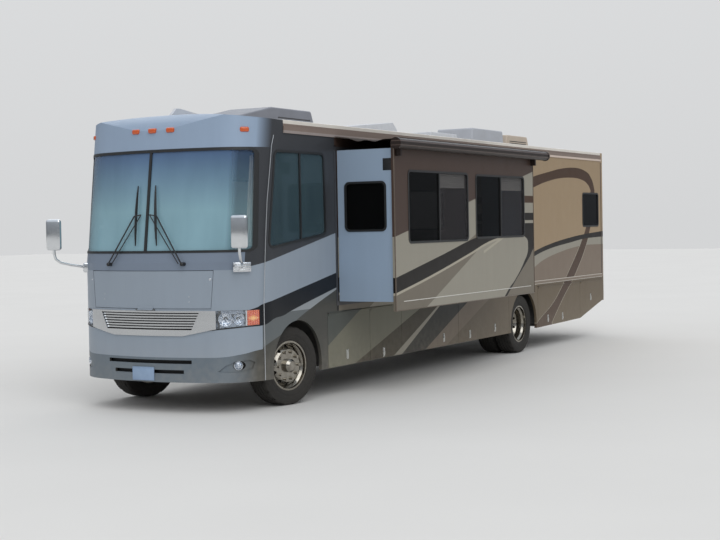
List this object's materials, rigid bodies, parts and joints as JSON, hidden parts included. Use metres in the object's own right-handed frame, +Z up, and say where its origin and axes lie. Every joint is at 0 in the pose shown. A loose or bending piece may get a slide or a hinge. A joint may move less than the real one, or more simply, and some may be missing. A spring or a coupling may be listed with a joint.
{
  "type": "motorhome",
  "caption": "Bus-front motorhome with a rear engine, a slide-out room under a topper awning, baggage doors, steered front wheels and twin rear wheels.",
  "frame": {"origin": "on the ground under the middle of the overall box", "axes": "+X forwards, +Y to the vehicle's left, +Z up"},
  "size_m": [12.361, 3.7218, 3.74],
  "materials": {
    "cap_paint": "gloss",
    "body_paint": "gloss",
    "roof_paint": "satin",
    "glass": "clear tinted",
    "lens": "clear",
    "amber_lens": "gloss",
    "red_lens": "gloss",
    "chrome": "polished",
    "black_trim": "satin",
    "frame_black": "satin",
    "steel": "satin",
    "iron": "rough",
    "tyre": "matte",
    "floor": "satin",
    "bay": "satin",
    "awning_tube": "satin",
    "awning_cloth": "matte",
    "cream_plastic": "satin",
    "white_plastic": "satin",
    "dash": "matte",
    "seat": "matte"
  },
  "bodies": {
    "coach": {"front_cap": "cap_paint", "lower_bumper": "cap_paint", "wall_left": "body_paint", "wall_right": "body_paint", "rear_cap": "body_paint", "skirt_panels": "body_paint", "roof": "roof_paint", "windshield": "glass", "side_glass": "glass", "window_frames": "black_trim", "side_trim": "black_trim", "topper_fabric": "awning_cloth", "hinge_pins": "steel", "cabin_floor": "floor", "basement": "bay", "chassis_frame": "frame_black", "engine_block": "iron", "front_axle": "iron", "rear_axle": "iron", "grille": "chrome", "front_lamps": "lens", "marker_lamps": "amber_lens", "wipers": "black_trim", "mirrors": "chrome", "dashboard": "dash", "cab_seats": "seat", "roof_units": "cream_plastic", "roof_fittings": "white_plastic", "patio_awning": "awning_tube", "rear_lamps": "red_lens"},
    "knuckle_left": {"knuckle_left": "iron"},
    "knuckle_right": {"knuckle_right": "iron"},
    "tie_rod": {"tie_rod": "steel"},
    "wheel_front_left": {"tyre_front_left": "tyre", "rim_front_left": "chrome"},
    "wheel_front_right": {"tyre_front_right": "tyre", "rim_front_right": "chrome"},
    "wheels_rear_left": {"tyres_rear_left": "tyre", "rims_rear_left": "chrome"},
    "wheels_rear_right": {"tyres_rear_right": "tyre", "rims_rear_right": "chrome"},
    "slide_out": {"slide_box": "body_paint", "slide_glass": "glass", "slide_frames": "black_trim", "topper_tube": "awning_tube"},
    "hood": {"hood_panel": "cap_paint"},
    "entry": {"entry_door": "body_paint", "entry_glass": "glass"},
    "engine_hatch": {"rear_hatch": "body_paint"},
    "bay_door_left_1": {"bay_door_left_1": "body_paint"},
    "bay_door_left_2": {"bay_door_left_2": "body_paint"},
    "bay_door_left_3": {"bay_door_left_3": "body_paint"},
    "bay_door_left_4": {"bay_door_left_4": "body_paint"},
    "bay_door_left_5": {"bay_door_left_5": "body_paint"},
    "bay_door_left_6": {"bay_door_left_6": "body_paint"},
    "bay_door_right_1": {"bay_door_right_1": "body_paint"},
    "bay_door_right_2": {"bay_door_right_2": "body_paint"},
    "bay_door_right_3": {"bay_door_right_3": "body_paint"},
    "bay_door_right_4": {"bay_door_right_4": "body_paint"}
  },
  "joints": [
    {"name": "steer_left", "type": "hinge", "parent": "coach", "child": "knuckle_left", "pos_m": [4.8355, 0.529, 0.474], "axis": [0, 0, 1], "range_deg": [-28, 52]},
    {"name": "steer_right", "type": "hinge", "parent": "coach", "child": "knuckle_right", "pos_m": [4.8355, -1.331, 0.474], "axis": [0, 0, 1], "range_deg": [-28, 52]},
    {"name": "tie_rod_pivot", "type": "hinge", "parent": "knuckle_left", "child": "tie_rod", "pos_m": [4.65943, 0.56642, 0.39], "axis": [0, 0, 1], "range_deg": [-52, 28]},
    {"name": "spin_front_left", "type": "hinge", "parent": "knuckle_left", "child": "wheel_front_left", "pos_m": [4.8355, 0.529, 0.474], "axis": [0.2079, 0.9781, 0], "continuous": true},
    {"name": "spin_front_right", "type": "hinge", "parent": "knuckle_right", "child": "wheel_front_right", "pos_m": [4.8355, -1.331, 0.474], "axis": [0.2079, 0.9781, 0], "continuous": true},
    {"name": "spin_rear_left", "type": "hinge", "parent": "coach", "child": "wheels_rear_left", "pos_m": [-2.1745, 0.519, 0.474], "axis": [0, 1, 0], "continuous": true},
    {"name": "spin_rear_right", "type": "hinge", "parent": "coach", "child": "wheels_rear_right", "pos_m": [-2.1745, -1.321, 0.474], "axis": [0, 1, 0], "continuous": true},
    {"name": "slide_out_travel", "type": "slide", "parent": "coach", "child": "slide_out", "axis": [0, 1, 0], "range_m": [-0.78, 0], "deforming": ["topper_fabric"]},
    {"name": "hood_tip", "type": "hinge", "parent": "coach", "child": "hood", "pos_m": [6.1245, -0.401, 1.209], "axis": [0, 1, 0], "range_deg": [0, 90]},
    {"name": "entry_swing", "type": "hinge", "parent": "coach", "child": "entry", "pos_m": [4.0455, -1.6925, 1.5], "axis": [0, 0, 1], "range_deg": [0, 90]},
    {"name": "engine_hatch_lift", "type": "hinge", "parent": "coach", "child": "engine_hatch", "pos_m": [-6.1735, -0.401, 1.753], "axis": [0, 1, 0], "range_deg": [0, 85]},
    {"name": "bay_door_left_1_lift", "type": "hinge", "parent": "coach", "child": "bay_door_left_1", "pos_m": [3.5885, 0.8905, 1.054], "axis": [1, 0, 0], "range_deg": [0, 88]},
    {"name": "bay_door_left_2_lift", "type": "hinge", "parent": "coach", "child": "bay_door_left_2", "pos_m": [2.5985, 0.8905, 1.054], "axis": [1, 0, 0], "range_deg": [0, 88]},
    {"name": "bay_door_left_3_lift", "type": "hinge", "parent": "coach", "child": "bay_door_left_3", "pos_m": [1.2435, 0.8905, 1.054], "axis": [1, 0, 0], "range_deg": [0, 88]},
    {"name": "bay_door_left_4_lift", "type": "hinge", "parent": "coach", "child": "bay_door_left_4", "pos_m": [-0.609, 0.8905, 1.054], "axis": [1, 0, 0], "range_deg": [0, 88]},
    {"name": "bay_door_left_5_lift", "type": "hinge", "parent": "coach", "child": "bay_door_left_5", "pos_m": [-3.7885, 0.8905, 1.054], "axis": [1, 0, 0], "range_deg": [0, 88]},
    {"name": "bay_door_left_6_lift", "type": "hinge", "parent": "coach", "child": "bay_door_left_6", "pos_m": [-5.3785, 0.8905, 1.054], "axis": [1, 0, 0], "range_deg": [0, 88]},
    {"name": "bay_door_right_1_lift", "type": "hinge", "parent": "coach", "child": "bay_door_right_1", "pos_m": [1.891, -1.6925, 1.054], "axis": [-1, 0, 0], "range_deg": [0, 88]},
    {"name": "bay_door_right_2_lift", "type": "hinge", "parent": "coach", "child": "bay_door_right_2", "pos_m": [-0.4095, -1.6925, 1.054], "axis": [-1, 0, 0], "range_deg": [0, 88]},
    {"name": "bay_door_right_3_lift", "type": "hinge", "parent": "coach", "child": "bay_door_right_3", "pos_m": [-3.7885, -1.6925, 1.054], "axis": [-1, 0, 0], "range_deg": [0, 88]},
    {"name": "bay_door_right_4_lift", "type": "hinge", "parent": "coach", "child": "bay_door_right_4", "pos_m": [-5.3785, -1.6925, 1.054], "axis": [-1, 0, 0], "range_deg": [0, 88]}
  ],
  "couplings": [
    {"joint": "steer_right", "follows": "steer_left", "ratio": 1},
    {"joint": "tie_rod_pivot", "follows": "steer_left", "ratio": -1}
  ]
}
